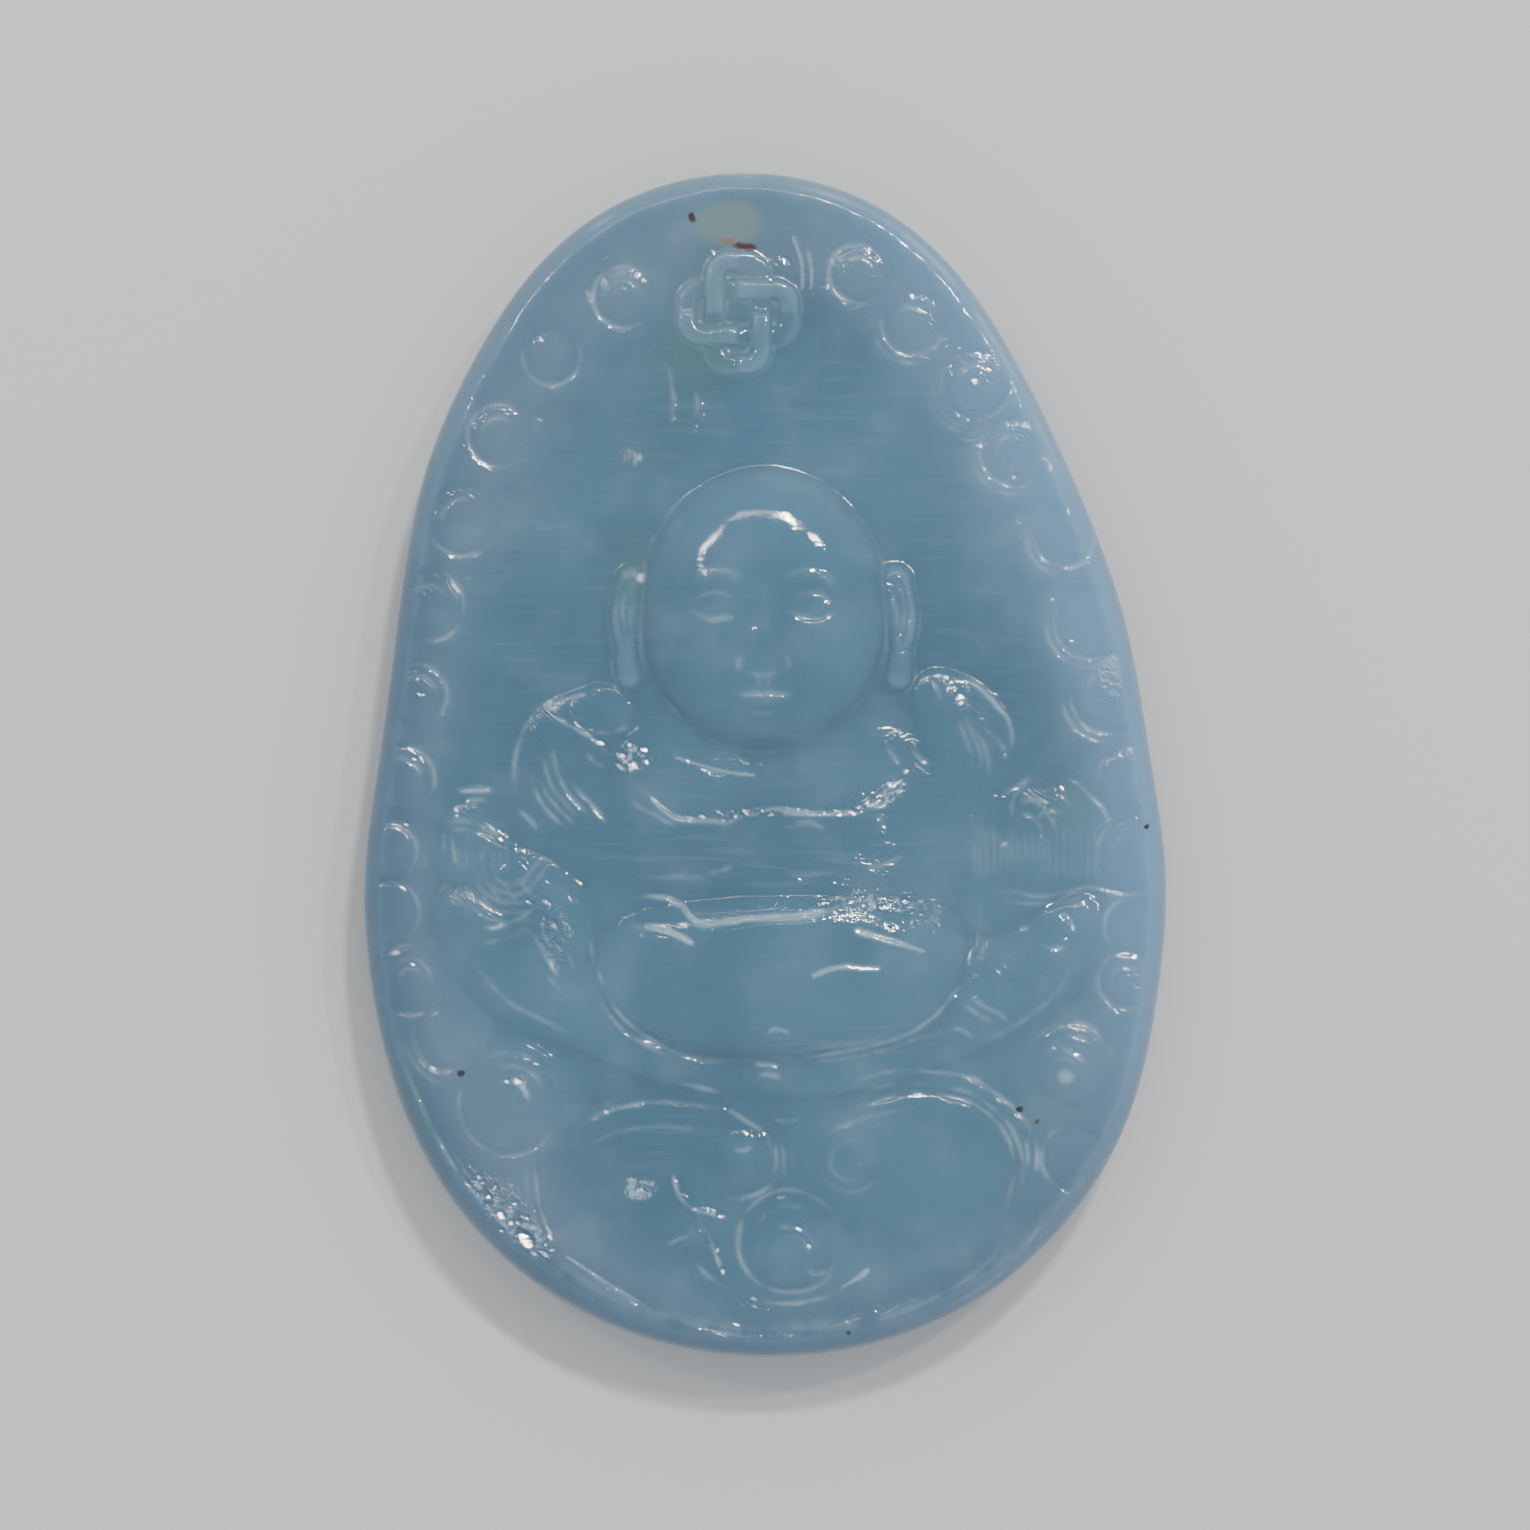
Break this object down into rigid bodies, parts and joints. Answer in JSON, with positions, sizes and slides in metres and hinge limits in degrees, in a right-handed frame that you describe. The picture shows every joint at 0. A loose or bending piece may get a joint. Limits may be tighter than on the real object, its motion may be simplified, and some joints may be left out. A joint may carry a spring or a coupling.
{
  "type": "carved jade pendant",
  "caption": "Egg-shaped carved stone plaque with a seated figure in relief, a beaded border and a drilled hanging hole.",
  "frame": {"origin": "centre of the plaque's outline on its flat back face", "axes": "+Z out of the carved front, +Y towards the pendant's top where it hangs, +X to the right seen from the front"},
  "size_m": [0.0298, 0.044, 0.0062],
  "materials": {
    "jade": "polished"
  },
  "bodies": {
    "root": {"jade_plaque": "jade"}
  },
  "joints": []
}
